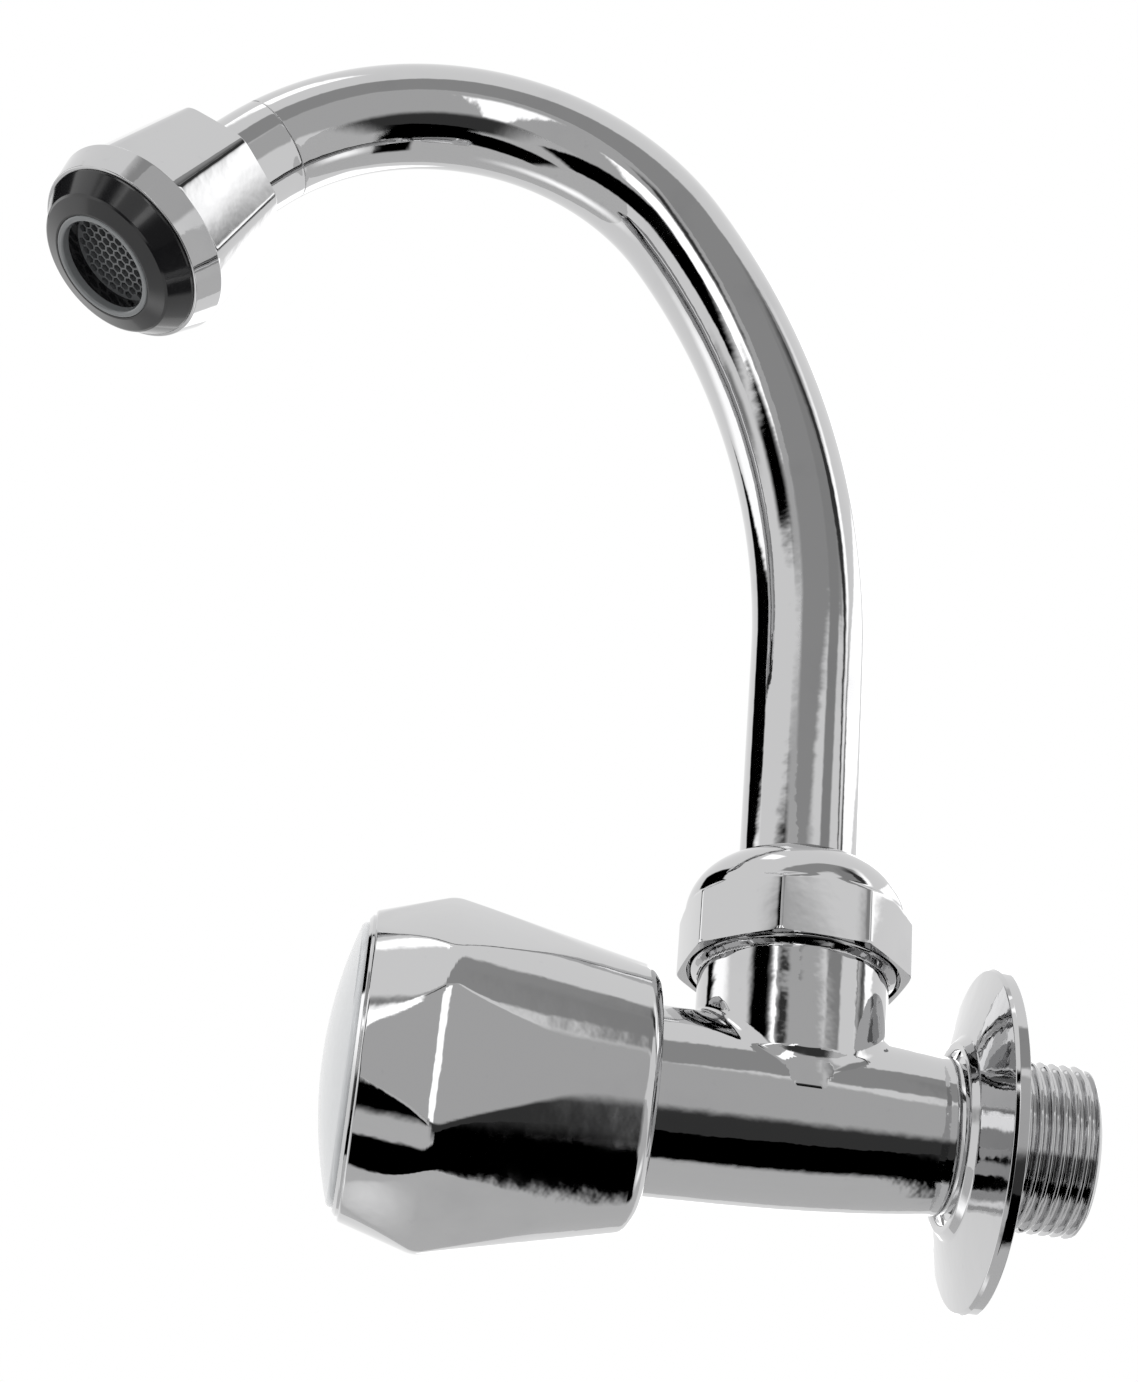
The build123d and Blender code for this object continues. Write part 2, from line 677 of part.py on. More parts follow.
# Nozzle: gasket, mixer cup, screen, black insert and grey ring.
gasket_front = 13.0
insert_ledge = 18.0
bore_r = 8.9
ring_floor = 20.6
parts["aerator_gasket"] = down_head * tube(15.0, 9.5, web_front, gasket_front)
parts["nozzle_insert"] = down_head * turned(
    [
        (12.5, gasket_front),
        (front_bore - seated, gasket_front),
        (front_bore - seated, head_lip),
        (16.2, head_lip, 0.15),
        (13.35, 21.1, 0.3),
        (10.0, 22.3),
        (10.0, ring_floor),
        (bore_r, ring_floor),
        (bore_r, insert_ledge),
        (12.5, insert_ledge),
    ]
)
parts["nozzle_ring"] = down_head * turned(
    [(8.8, ring_floor), (9.94, ring_floor), (9.94, 22.35, 0.2), (8.8, 22.35, 0.2)]
)
screen_low = insert_ledge - 1.0
cell_pitch = 1.75
cell_across = 1.4
cells = []
for row in range(-6, 7):
    for column in range(-6, 7):
        x = cell_pitch * (column + row / 2)
        y = cell_pitch * row * math.sqrt(3) / 2
        if math.hypot(x, y) < 8.2:
            cells.append(Pos(x, y) * RegularPolygon(cell_across / 2, 6, rotation=30, major_radius=False))
screen_face = Circle(screen_r) - cells
parts["aerator_screen"] = down_head * (Pos(0, 0, screen_low) * extrude(screen_face, 1.0))
mixer = turned(
    [(0, gasket_front), (screen_r, gasket_front), (screen_r, screen_low), (10.8, screen_low)]
    + [(10.8, 14.4), (0, 14.4)]
)
for index in range(12):
    mixer -= Rot(0, 0, 30 * index) * Pos(8, 0, 0) * rod(0.9, gasket_front - 1, 15.5)
parts["flow_mixer"] = down_head * mixer

for name, part in parts.items():
    solids = part.solids()
    export_step(solids[0] if len(solids) == 1 else Compound(children=list(solids)), f"parts/{name}.step")
    print(name, len(solids))
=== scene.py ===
# %% [markdown]
# # A wall tap with a gooseneck spout
# The tap has a cast body that screws into the wall, a facetted handle, a bent spout tube held
# by a union nut, and an eight sided aerator head on a ball joint. Nearly all of it is chrome
# plated, so what the eye reads is not the metal's own colour but the studio bent over its
# shape. The lesson is therefore about exact surfaces and exact normals: a mirror shows every
# facet that a dull paint would hide. The measured solids come in first as a frame, and each
# outer piece is drawn again over them with fine, rounded surfaces.

import json
import math

import bpy
import numpy as np
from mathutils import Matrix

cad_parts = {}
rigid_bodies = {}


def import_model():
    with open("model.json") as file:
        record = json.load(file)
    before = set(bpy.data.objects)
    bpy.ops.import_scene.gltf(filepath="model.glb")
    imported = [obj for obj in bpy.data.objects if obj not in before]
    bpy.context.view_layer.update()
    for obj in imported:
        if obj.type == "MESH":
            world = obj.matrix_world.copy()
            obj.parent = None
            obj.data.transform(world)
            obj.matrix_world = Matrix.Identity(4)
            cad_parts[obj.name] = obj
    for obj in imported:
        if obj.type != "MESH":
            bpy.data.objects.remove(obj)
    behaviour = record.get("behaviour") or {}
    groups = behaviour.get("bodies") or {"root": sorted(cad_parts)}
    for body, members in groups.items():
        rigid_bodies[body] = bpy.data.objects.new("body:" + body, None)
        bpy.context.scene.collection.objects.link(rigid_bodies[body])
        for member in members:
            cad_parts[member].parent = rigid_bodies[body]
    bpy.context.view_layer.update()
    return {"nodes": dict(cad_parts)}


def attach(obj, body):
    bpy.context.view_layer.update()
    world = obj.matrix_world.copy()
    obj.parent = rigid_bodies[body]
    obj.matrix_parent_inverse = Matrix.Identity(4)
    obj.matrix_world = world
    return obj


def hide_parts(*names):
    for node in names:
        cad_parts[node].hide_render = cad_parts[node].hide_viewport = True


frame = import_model()
MM = 0.001

# %% [markdown]
# ## Profiles with rounded corners
# Every turned piece of the tap, such as a ring, nut or cap, starts on a lathe as a profile of
# straight runs and small radii. It could be a bevel modifier on a coarse mesh, but then the
# radius would change with the mesh. Here each corner is rounded in the profile itself: a fillet
# of a set radius touches both runs, and its points lie on a circle about its own centre.


# %% Rounded profile
def rounded(corners, steps=6, small=0.12):
    """Closed profile (radius, height): each corner becomes an arc that touches both its runs.
    The arc's centre lies on the corner's bisector, at radius / sin(half the corner's angle)."""
    corners = [tuple(c) + (small,) * (3 - len(c)) for c in corners]
    here = np.array([c[:2] for c in corners], float)
    size = np.array([c[2] for c in corners], float)
    back = np.roll(here, 1, 0) - here
    ahead = np.roll(here, -1, 0) - here
    back /= np.linalg.norm(back, axis=1, keepdims=True)
    ahead /= np.linalg.norm(ahead, axis=1, keepdims=True)
    half = np.arccos(np.clip((back * ahead).sum(1), -1, 1)) / 2
    flat = half > 1.55
    half = np.where(flat, 1.5, half)
    middle = back + ahead
    middle /= np.maximum(np.linalg.norm(middle, axis=1, keepdims=True), 1e-9)
    centre = here + middle * (size / np.sin(half))[:, None]
    first = here + back * (size / np.tan(half))[:, None] - centre
    last = here + ahead * (size / np.tan(half))[:, None] - centre
    share = np.linspace(0, 1, steps)[None, :, None]
    arc = first[:, None] * (1 - share) + last[:, None] * share
    arc *= (size[:, None, None] / np.maximum(np.linalg.norm(arc, axis=2, keepdims=True), 1e-9))
    points = centre[:, None] + arc
    points[flat] = here[flat][:, None]
    return points.reshape(-1, 2)


def arc_through(a, b, c, steps=12):
    """Open run of points on the circle through three points, worked out from its centre."""
    (ax, ay), (bx, by), (cx, cy) = a, b, c
    d = 2 * (ax * (by - cy) + bx * (cy - ay) + cx * (ay - by))
    ux = ((ax**2 + ay**2) * (by - cy) + (bx**2 + by**2) * (cy - ay) + (cx**2 + cy**2) * (ay - by)) / d
    uy = ((ax**2 + ay**2) * (cx - bx) + (bx**2 + by**2) * (ax - cx) + (cx**2 + cy**2) * (bx - ax)) / d
    start, end = math.atan2(ay - uy, ax - ux), math.atan2(cy - uy, cx - ux)
    turn = np.linspace(start, end, steps)
    size = math.hypot(ax - ux, ay - uy)
    return np.stack([ux + size * np.cos(turn), uy + size * np.sin(turn)], 1)


def dense(path, step, outside=None):
    """The same closed path with runs of about step and its corners kept. Where outside is
    given, only points beyond that radius get the fine step, and the rest four times that."""
    ring = np.vstack([path, path[:1]])
    along = np.r_[0, np.cumsum(np.linalg.norm(np.diff(ring, axis=0), axis=1))]
    extra = np.arange(0, along[-1], step)
    if outside is not None:
        reach = np.interp(extra, along, ring[:, 0])
        extra = extra[(reach > outside) | (np.arange(len(extra)) % 4 == 0)]
    spots = np.unique(np.r_[along, extra])
    spots = spots[np.r_[True, np.diff(spots) > 5e-3]]
    spots = spots[along[-1] - spots > 5e-3]
    return np.stack([np.interp(spots, along, ring[:, k]) for k in (0, 1)], 1)


print("corner of radius 1:", rounded([(0, 0), (4, 0, 1.0), (4, 4), (0, 4)])[6:12].round(2).tolist())

# %% [markdown]
# ## From profile to mesh
# A lathe turns the profile about its axis: the point at radius r and height h goes to
# (r cos t, r sin t, h). Blender's Spin tool would do that too, but facets and threads need the
# radius to change with both t and h, so the grid is worked out with numpy and handed over
# whole. The normals come from the same grid, as the cross product of its two directions. That
# keeps mirror reflections smooth even where the mesh is coarse.


# %% Surface from a grid of points
def lathe(path, around=160, shape=None):
    """Point (r cos t, r sin t, h) for each profile point and each angle t.
    shape(r, h, t) may change the radius, as for flats, facets or a thread."""
    angle = np.linspace(0, 2 * np.pi, around, endpoint=False)[None, :]
    radius, height = path[:, :1] + 0 * angle, path[:, 1:] + 0 * angle
    if shape:
        radius = shape(radius, height, angle)
    return np.stack([radius * np.cos(angle), radius * np.sin(angle), height], 2)


def placed(points, origin, x_way, z_way):
    """Moves local points so that their z runs along z_way and their x along x_way."""
    z = np.array(z_way, float) / np.linalg.norm(z_way)
    x = np.array(x_way, float) - z * np.dot(x_way, z)
    x /= np.linalg.norm(x)
    return points @ np.stack([x, np.cross(z, x), z]) + np.array(origin, float)


def surface(name, grid, body, paint, nodes=(), closed=True):
    """Mesh from a grid of points in millimetres that wraps round in its second direction and,
    if closed, in its first. A row that has shrunk to one point is a pole and gets triangles.
    Normal = one grid direction x the other, turned outward by the sign of the volume."""
    rows, columns = grid.shape[:2]
    along = np.roll(grid, -1, 0) - np.roll(grid, 1, 0) if closed else np.gradient(grid, axis=0)
    across = np.roll(grid, -1, 1) - np.roll(grid, 1, 1)
    normal = np.cross(along, across)
    number = np.arange(rows * columns).reshape(rows, columns)
    poles = np.where(np.ptp(grid, axis=1).max(1) < 1e-7)[0]
    number[poles] = number[poles, :1]
    for pole in poles:
        normal[pole] = normal[pole + 1 if pole == 0 else pole - 1].mean(0)
    normal /= np.maximum(np.linalg.norm(normal, axis=2, keepdims=True), 1e-12)
    low = number if closed else number[:-1]
    high = np.roll(number, -1, 0) if closed else number[1:]
    quads = np.stack([low, np.roll(low, -1, 1), np.roll(high, -1, 1), high], 2).reshape(-1, 4)
    flat = grid.reshape(-1, 3)
    a, b, c, d = (flat[quads[:, k]] for k in range(4))
    volume = (np.einsum("ij,ij->i", a, np.cross(b, c)) + np.einsum("ij,ij->i", a, np.cross(c, d))).sum()
    if volume < 0:
        quads = quads[:, ::-1]
    first = number[: None if closed else -1].ravel()
    mean = np.einsum("ij,ij->i", np.cross(b - a, d - a), normal.reshape(-1, 3)[first]).sum()
    if (mean < 0) != (volume < 0):
        normal = -normal
    used, packed = np.unique(quads, return_inverse=True)
    quads = packed.reshape(-1, 4)
    same = (quads == np.roll(quads, -1, 1)).any(1)
    triangles = [list(dict.fromkeys(q)) for q in quads[same].tolist()]
    mesh = bpy.data.meshes.new(name)
    faces = quads[~same].tolist() + [t for t in triangles if len(t) == 3]
    mesh.from_pydata((flat[used] * MM).tolist(), [], faces)
    mesh.shade_smooth()
    mesh.normals_split_custom_set_from_vertices(normal.reshape(-1, 3)[used].tolist())
    piece = bpy.data.objects.new(name, mesh)
    bpy.context.scene.collection.objects.link(piece)
    mesh.materials.append(paint)
    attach(piece, body)
    if nodes:
        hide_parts(*nodes)
    print(f"{name}: {len(mesh.polygons)} faces, volume {abs(volume) / 6:.0f} cubic mm")
    return piece


# %% [markdown]
# ## Shader sums
# A finish such as worn plate is a sum of patterns: some smears, some fine lines, a little wave.
# Wiring Math nodes by hand hides that sum. This small class wraps a socket so that the sum can
# be written as Python, and each operator adds the node it stands for.


# %% Signal class
class Signal:
    """A shader socket that takes part in Python sums: a * b + c adds two Math nodes."""

    def __init__(self, tree, socket=None):
        self.tree, self.socket = tree, socket

    def node(self, kind, settings=None, inputs=None, output=0):
        """Adds any node: its settings first, then the values or links of its sockets."""
        new = self.tree.nodes.new(kind)
        for key, value in (settings or {}).items():
            setattr(new, key, value)
        for key, value in (inputs or {}).items():
            if isinstance(value, Signal):
                self.tree.links.new(value.socket, new.inputs[key])
            else:
                new.inputs[key].default_value = value
        return Signal(self.tree, new.outputs[output])

    def maths(self, operation, *values):
        return self.node("ShaderNodeMath", {"operation": operation}, dict(enumerate(values)))

    def __add__(self, other):
        return self.maths("ADD", self, other)

    def __sub__(self, other):
        return self.maths("SUBTRACT", self, other)

    def __rsub__(self, other):
        return self.maths("SUBTRACT", other, self)

    def __mul__(self, other):
        return self.maths("MULTIPLY", self, other)

    __radd__, __rmul__ = __add__, __mul__

    def step(self, low, high):
        """0 below low, 1 above high, with a soft passage between."""
        return self.node(
            "ShaderNodeMapRange",
            {"interpolation_type": "SMOOTHSTEP"},
            {"Value": self, "From Min": low, "From Max": high},
        )

    def noise(self, scale, detail=2.0, rough=0.5, stretch=(1, 1, 1), shift=0.0):
        """Noise on Object coordinates, whose unit is a metre; stretch squeezes it on one axis."""
        place = self.node("ShaderNodeTexCoord", output=3)
        moves = {"Vector": place, "Scale": stretch, "Location": (shift,) * 3}
        place = self.node("ShaderNodeMapping", None, moves)
        grain = {"Vector": place, "Scale": scale, "Detail": detail, "Roughness": rough}
        return self.node("ShaderNodeTexNoise", None, grain)

    def mix(self, low, high):
        """Colour from low to high as this signal goes from 0 to 1."""
        settings = {"data_type": "RGBA"}
        return self.node("ShaderNodeMix", settings, {0: self, 6: (*low, 1), 7: (*high, 1)}, output=2)

    def bump(self, distance, strength=1.0):
        return self.node("ShaderNodeBump", None, {"Height": self, "Distance": distance, "Strength": strength})


def finish(name, **constants):
    """New material; returns it, a Signal to start sums from, and a function that feeds its shader."""
    paint = bpy.data.materials.new(name)
    paint.use_nodes = True
    shader = paint.node_tree.nodes["Principled BSDF"]
    for key, value in constants.items():
        shader.inputs[key.replace("_", " ")].default_value = value

    def feed(socket, signal):
        paint.node_tree.links.new(signal.socket, shader.inputs[socket])

    return paint, Signal(paint.node_tree), feed


print("signal class ready")

# %% [markdown]
# ## Chrome plate
# Real chromium throws back a little over half of the light, so its tone is 0.56 and a white
# tent shows in it as mid grey. On a tap it is a mirror with small faults: soft smears from hands
# and polish, very fine buffing lines, and a slight wave that the cast metal below leaves in the
# plate. A roughness of zero would look like computer glass. The smears and lines lift the
# roughness in patches, and the wave goes into the normal through a bump of a few hundredths of
# a millimetre.


# %% Chrome
def chrome(name, wave, smear, lines=(1, 1, 1), shift=0.0, tone=0.56):
    """Roughness = base + smears + buffing lines; the wave is noise a few millimetres long."""
    paint, start, feed = finish(name, Metallic=1.0)
    smears = start.noise(45, 4, 0.6, shift=shift).step(0.52, 0.72)
    spots = start.noise(420, 2, 0.6, shift=shift + 3).step(0.68, 0.78)
    hair = start.noise(300, 3, 0.7, stretch=lines, shift=shift)
    feed("Roughness", smears * smear + spots * 0.03 + hair * 0.03 + 0.012)
    dull = smears * 0.6 + spots * 0.4
    feed("Base Color", dull.mix((tone, tone, tone * 1.008), (tone * 0.9, tone * 0.9, tone * 0.915)))
    ripple = start.noise(130, 2, 0.5, shift=shift) + start.noise(700, 1, 0.5, shift=shift) * 0.12
    feed("Normal", ripple.bump(wave * MM))
    return paint


tube_chrome = chrome("tube_chrome", wave=0.05, smear=0.05, lines=(9, 9, 0.4))
cast_chrome = chrome("cast_chrome", wave=0.10, smear=0.06, lines=(8, 0.5, 8), shift=1.0)
turned_chrome = chrome("turned_chrome", wave=0.04, smear=0.05, lines=(0.5, 0.5, 9), shift=2.0)
handle_chrome = chrome("handle_chrome", wave=0.07, smear=0.05, lines=(6, 6, 6), shift=3.0)
pressed_chrome = chrome("pressed_chrome", wave=0.12, smear=0.07, lines=(7, 7, 7), shift=4.0)
print("chrome finishes:", [m.name for m in bpy.data.materials if "chrome" in m.name])

# %% [markdown]
# ## Plastics, rubber and brass
# The nozzle is glossy black plastic with faint flow marks, its ring and mesh are grey, and the
# cap is pale and bare. Inside there are machined brass, black rubber and white bearing
# plastic. Each gets its own grain, because a moulded surface, a turned one and a rubber one
# scatter light at different scales.


# %% Other finishes
def moulded(name, colour, rough, grain, depth, coat=0.0):
    """Plastic or rubber: roughness and colour drift a little with two sizes of noise."""
    paint, start, feed = finish(name, Coat_Weight=coat, Coat_Roughness=0.05)
    drift = start.noise(55, 3)
    fine = start.noise(grain, 2)
    darker = tuple(0.82 * c for c in colour)
    feed("Base Color", (drift * 0.6 + fine * 0.4).mix(darker, colour))
    feed("Roughness", drift * 0.08 + fine * 0.06 + (rough - 0.07))
    feed("Normal", fine.bump(depth * MM))
    return paint


def metal(name, colour, rough, lines):
    """Machined metal: turning lines are noise squeezed along one axis."""
    paint, start, feed = finish(name, Metallic=1.0)
    marks = start.noise(500, 2, 0.6, stretch=lines)
    stain = start.noise(60, 3).step(0.45, 0.75)
    feed("Base Color", stain.mix(colour, tuple(0.7 * c for c in colour)))
    feed("Roughness", marks * 0.18 + stain * 0.1 + (rough - 0.1))
    feed("Normal", marks.bump(0.01 * MM))
    return paint


black_gloss = moulded("black_gloss_plastic", (0.012, 0.012, 0.013), 0.14, 900, 0.004, coat=0.3)
black_ring = moulded("black_ring_plastic", (0.014, 0.014, 0.015), 0.22, 1200, 0.006)
grey_plastic = moulded("grey_nozzle_plastic", (0.23, 0.24, 0.245), 0.22, 900, 0.004, coat=0.2)
mesh_plastic = moulded("grey_mesh_plastic", (0.16, 0.165, 0.17), 0.25, 1500, 0.004)
cap_plastic = moulded("pale_cap_plastic", (0.74, 0.755, 0.77), 0.20, 700, 0.004, coat=0.4)
white_plastic = moulded("white_bearing_plastic", (0.78, 0.78, 0.75), 0.40, 1500, 0.006)
rubber = moulded("black_rubber", (0.02, 0.02, 0.02), 0.65, 2200, 0.012)
brass = metal("machined_brass", (0.78, 0.60, 0.31), 0.28, (1, 9, 1))
steel = metal("stainless_steel", (0.60, 0.60, 0.61), 0.26, (1, 9, 1))
print("finishes:", len(bpy.data.materials))

# %% [markdown]
# ## Where the axes lie
# Four axes carry everything: the inlet axis along Y, the boss along Z, the spout's centre line
# in the plane between them, and the head's own axis. The centre line is straight, then a wide
# bend, then a tight one. On a bend the point is centre + radius x (cos, sin) of the turn so far.

# %% Axes
BOSS_Y, STRAIGHT_TOP = -31.0, 81.5
WIDE, WIDE_TURN, CROWN = 140.0, math.radians(36.4), 50.0
SEAM_TURN, END_TURN, TAIL = math.radians(133.0), math.radians(138.0), 16.7


def centre_line(turn):
    """Centre and direction of the spout where it has turned by these angles from straight up."""
    turn = np.atleast_1d(turn)
    wide = np.minimum(turn, WIDE_TURN)
    y = BOSS_Y - (WIDE - CROWN) * (1 - np.cos(wide)) - CROWN * (1 - np.cos(turn))
    z = STRAIGHT_TOP + (WIDE - CROWN) * np.sin(wide) + CROWN * np.sin(turn)
    way = np.stack([0 * turn, -np.sin(turn), np.cos(turn)], 1)
    return np.stack([0 * turn, y, z], 1), way


end_point, end_way = (v[0] for v in centre_line(END_TURN))
PIVOT = end_point + end_way * TAIL
HEAD_WAY = np.array([0.179, -0.51, -0.842])
HEAD_WAY /= np.linalg.norm(HEAD_WAY)
HEAD_X = np.cross(HEAD_WAY, (1, 0, 0.2))
print("ball centre in mm:", PIVOT.round(2).tolist())


def on_boss(grid):
    """Stands a lathe on the boss."""
    return grid + np.array([0, BOSS_Y, 0])


def off_wall(grid):
    """Lays a lathe on the inlet axis, its height running away from the wall."""
    return placed(grid, (0, 0, 0), (1, 0, 0), (0, -1, 0))


def into_wall(grid):
    """Lays a lathe on the inlet axis, its height running into the wall."""
    return placed(grid, (0, 0, 0), (1, 0, 0), (0, 1, 0))


def on_head(grid):
    """Sets a lathe on the head's axis, its height counted from the ball's centre."""
    return placed(grid, PIVOT, HEAD_X, HEAD_WAY)


# %% [markdown]
# ## Spout tube
# The spout is one brass tube of 19 mm, bent cold round two formers and plated after. A curve
# with a bevel would give the same shape, but not its inner wall or exact normals. Here a
# circle is carried along the centre line: point = centre + r (cos t side + sin t lift), where
# side is the X axis and lift is square to both it and the line. The grid runs out along the
# outside and comes back along the bore, so the wall is a closed solid.


# %% Spout tube
def carried(centres, ways, radii, around=144):
    """Circle of a given radius carried along a line that stays in the YZ plane."""
    angle = np.linspace(0, 2 * np.pi, around, endpoint=False)[None, :, None]
    side = np.array([1.0, 0, 0])[None, None]
    lift = np.cross(ways, (1.0, 0, 0))[:, None]
    return centres[:, None] + radii[:, None, None] * (np.cos(angle) * side + np.sin(angle) * lift)


straight = np.linspace(24.0, STRAIGHT_TOP, 30)[:-1]
turns = np.unique(np.r_[np.linspace(0, WIDE_TURN, 40), np.linspace(WIDE_TURN, SEAM_TURN, 90)])
line, ways = centre_line(turns)
foot = np.stack([0 * straight, 0 * straight + BOSS_Y, straight], 1)
line = np.vstack([foot, line])
ways = np.vstack([np.tile([0, 0, 1.0], (len(foot), 1)), ways])
# The last steps round the outer edge into the seam with the sleeve.
lip = np.array([9.5, 9.46, 9.36, 9.30])
seam_line, seam_way = centre_line(SEAM_TURN)
pull = np.array([-0.16, -0.06, -0.01, 0.0])[:, None]
outer_line = np.vstack([line[:-1], seam_line + seam_way * pull])
outer_ways = np.vstack([ways[:-1], np.tile(seam_way, (4, 1))])
outer_size = np.r_[np.full(len(line) - 1, 9.5), lip]
skin = carried(outer_line, outer_ways, outer_size)
bore = carried(line[::-1], ways[::-1], np.full(len(line), 8.3))
surface("spout_tube_skin", np.vstack([skin, bore]), "spout", tube_chrome, ["spout_tube"])

# %% [markdown]
# ## Sleeve at the spout's end
# A short turned sleeve is brazed flush on the tube's end, and the ball stud screws into it.
# Only a hair line shows where they meet, so both edges are broken by a tenth of a millimetre
# and meet in a fine groove. The sleeve follows the last degrees of the bend and then runs
# straight.

# %% Tip sleeve
bend_turns = np.linspace(SEAM_TURN, END_TURN, 8)
bend_line, bend_ways = centre_line(bend_turns)
run = np.array([1.5, 4.0, 6.5, 7.15, 7.2, 7.35, 7.52, 7.66, 7.7])
run_size = np.array([9.5, 9.5, 9.5, 9.5, 9.5, 9.46, 9.36, 9.18, 9.0])
start_pull = np.array([0.0, 0.01, 0.06, 0.16])[:, None]
sleeve_line = np.vstack(
    [seam_line + seam_way * start_pull, bend_line[1:], end_point + end_way * run[:, None]]
)
sleeve_ways = np.vstack([np.tile(seam_way, (4, 1)), bend_ways[1:], np.tile(end_way, (len(run), 1))])
sleeve_size = np.r_[lip[::-1], np.full(7, 9.5), run_size]
back_line = np.vstack([end_point + end_way * np.array([7.7, 7.6, 3.8, 3.7])[:, None], bend_line[::-1]])
back_ways = np.vstack([np.tile(end_way, (4, 1)), bend_ways[::-1]])
back_size = np.r_[6.3, 6.05, 6.05, 8.3, np.full(8, 8.3)]
grid = np.vstack([carried(sleeve_line, sleeve_ways, sleeve_size), carried(back_line, back_ways, back_size)])
surface("tip_sleeve_skin", grid, "spout", tube_chrome, ["spout_tip_sleeve"])

# %% [markdown]
# ## Flats and facets
# The nut and the head are eight sided, and the handle has six diamond facets. Each is a turned
# form with flat cuts. A boolean would cut them with razor edges. Instead the radius is the
# smaller of two: that of the turned form, and that of the flat, which is its distance from the
# axis divided by the cosine of the angle from its middle. A soft minimum blends the two over a
# tenth of a millimetre, which is the edge that polishing leaves.


# %% Soft minimum of a turned form and flats
def cut_by_flats(radius, angle, count, first, distance, edge, corner=0.03, bulge=0.0):
    """-edge x log(exp(-a/edge) + exp(-b/edge)) of the turned radius a and the flats' radius b.
    The flats join by the same formula with corner for edge. A flat bulges by bulge x side^2."""
    total = np.zeros(np.broadcast(radius, angle).shape)
    for k in range(count):
        off = (angle - first - 2 * np.pi * k / count + np.pi) % (2 * np.pi) - np.pi
        off = np.clip(off, -1.2, 1.2)
        side = distance * np.tan(np.clip(off, -0.6, 0.6))
        one = (distance - bulge * side**2) / np.cos(off)
        total += np.where(np.abs(off) < 1.19, np.exp(-(one - distance) / corner), 0)
    flat = distance - corner * np.log(total)
    low = np.minimum(radius, flat)
    return low - edge * np.log1p(np.exp(-np.abs(radius - flat) / edge))


# %% [markdown]
# ## Union nut
# The nut is an octagon below and a dome above, from one turned blank: the flats are milled, so
# they end in shallow arcs where they run out into the dome. Its skirt hides the thread on the
# boss, and its top lip closes on the tube.

# %% Union nut
dome = arc_through((17.6, 33.2), (15.6, 38.2), (10.9, 41.2), 40)
skirt = rounded(
    [(16.8, 23.3), (18.4, 23.3, 0.3), (18.9, 23.9, 0.3), (18.9, 32.0, 0.9), (17.4, 33.3, 0.05)]
)
inside = rounded(
    [(11.2, 40.9), (10.6, 41.6, 0.25), (9.8, 41.6), (9.8, 34.5)]
    + [(14.6, 34.5), (14.6, 26.0), (16.8, 26.0), (16.8, 20)]
)
blank = np.vstack([skirt[:-6], dome, inside[6:-6]])
NUT_TURN = math.radians(22.5 - 17.2)


def nut_shape(radius, height, angle):
    """Octagon 34.9 mm across its flats; the bore and the dome are too small to be touched."""
    return cut_by_flats(radius, angle, 8, NUT_TURN, 17.46, 0.07, 0.1, 0.005)


grid = lathe(dense(blank, 0.45, outside=16.9), 480, nut_shape)
surface("union_nut_skin", on_boss(grid), "body", turned_chrome, ["union_nut"])

# %% [markdown]
# ## Handle
# The handle is a hollow double cone: it widens towards the front, turns over a rounded edge
# and narrows to the bezel that holds the cap. Six diamonds are cut across that edge. Each bulges
# a little from side to side and more from front to back, so its distance from the axis is a
# polynomial in the height, and its outline is where that meets the cone.

# %% Handle shell
facet_heights = np.array([56.0, 62.0, 69.4, 77.5, 84.5, 90.0, 97.6])
facet_depths = np.array([21.3, 22.1, 23.35, 24.35, 24.92, 24.6, 23.35])
facet_curve = np.polyfit(facet_heights - 80, facet_depths, 6)
HANDLE_TURN, FACET_BULGE = math.radians(-13.9), 0.0045


def handle_shape(radius, height, angle):
    """Six facets cut only where the profile is the outer one. A facet bulges a little, and its
    middle is raised by bulge x (radius^2 - depth^2), which leaves its outline where it was."""
    depth = np.polyval(facet_curve, height - 80)
    depth = depth + FACET_BULGE * np.maximum(radius**2 - depth**2, 0)
    depth = np.where((height > 56) & (radius > 20.2), depth, 60.0)
    return cut_by_flats(radius, angle, 6, HANDLE_TURN, depth, 0.05, 0.03, FACET_BULGE)


shell = rounded(
    [
        (15.3, 53.1, 0.4),
        (20.1, 53.1, 3.0),
        (27.12, 85.3, 5.0),
        (23.45, 97.2, 0.5),
        (22.85, 97.2),
        (22.85, 95.0),
        (19.5, 95.0),
        (19.5, 81.0),
        (2.8, 81.0),
        (2.8, 78.0),
        (7.95, 78.0),
        (7.95, 66.5),
        (15.3, 66.5),
    ],
    steps=9,
)
grid = lathe(dense(shell, 0.46, outside=20.2), 360, handle_shape)
surface("handle_shell_skin", off_wall(grid), "handle", handle_chrome, ["handle_shell"])

# %% [markdown]
# ## Trim ring and cap
# A chromed ring sits in the handle's mouth, and a pale domed cap snaps into it. The cap is
# bare: it carries no mark. Both are plain lathe work, but the step between ring and cap is
# what makes the front read as three pieces, so it is drawn with its own shadow gap.

